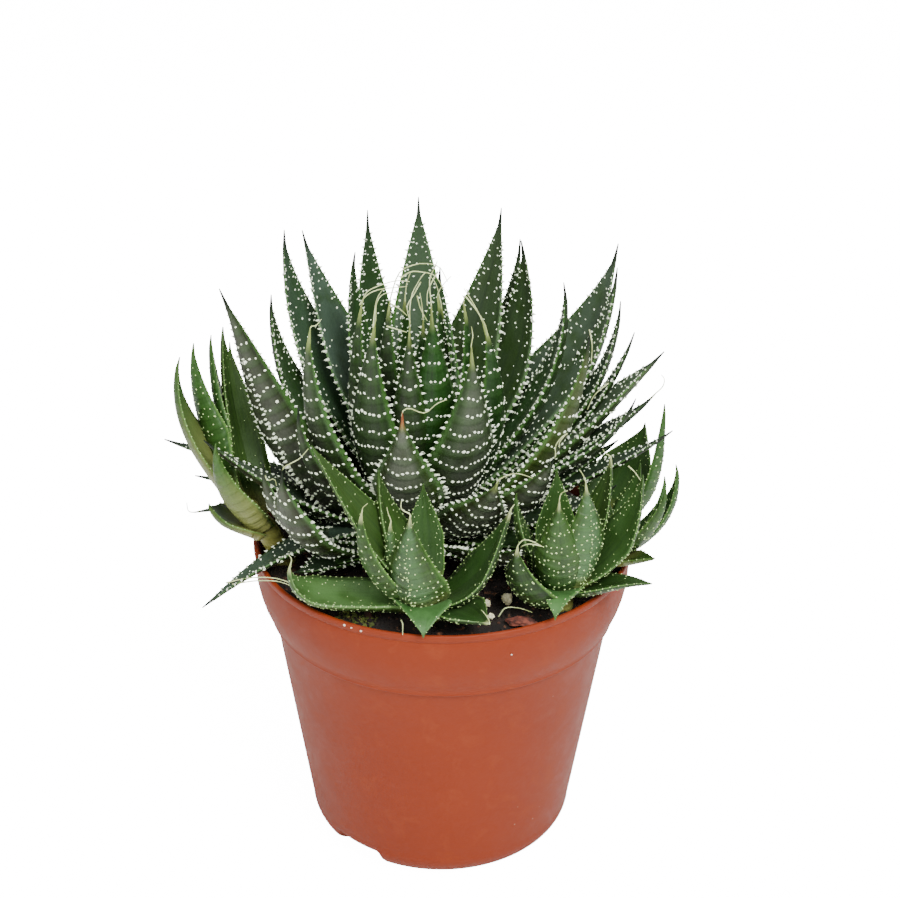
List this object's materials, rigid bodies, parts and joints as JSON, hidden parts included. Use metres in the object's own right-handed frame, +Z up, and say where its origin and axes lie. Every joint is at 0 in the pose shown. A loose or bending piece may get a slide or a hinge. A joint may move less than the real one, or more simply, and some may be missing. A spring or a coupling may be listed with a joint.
{
  "type": "potted lace aloe",
  "caption": "Potted lace aloe with spotted, toothed leaves and young offset rosettes in a plain round nursery pot.",
  "frame": {"origin": "middle of the pot's flat underside", "axes": "+Z up, -Y towards the viewer of the picture, +X to the viewer's right"},
  "size_m": [0.1603, 0.1397, 0.2025],
  "materials": {
    "pot": "satin terracotta-coloured plastic",
    "soil": "matte dark peat",
    "dark_leaf": "satin dark green leaf",
    "young_leaf": "satin fresh green leaf",
    "perlite": "matte cream grain",
    "bark": "matte brown bark"
  },
  "bodies": {
    "root": {"pot": "pot", "soil": "soil", "main_rosette": "dark_leaf", "offset_front": "young_leaf", "offset_front_right": "young_leaf", "offset_left": "young_leaf", "offset_right": "young_leaf", "offset_back_right": "young_leaf", "perlite_grain_1": "perlite", "perlite_grain_2": "perlite", "perlite_grain_3": "perlite", "perlite_grain_4": "perlite", "perlite_grain_5": "perlite", "bark_chip": "bark"}
  },
  "joints": []
}
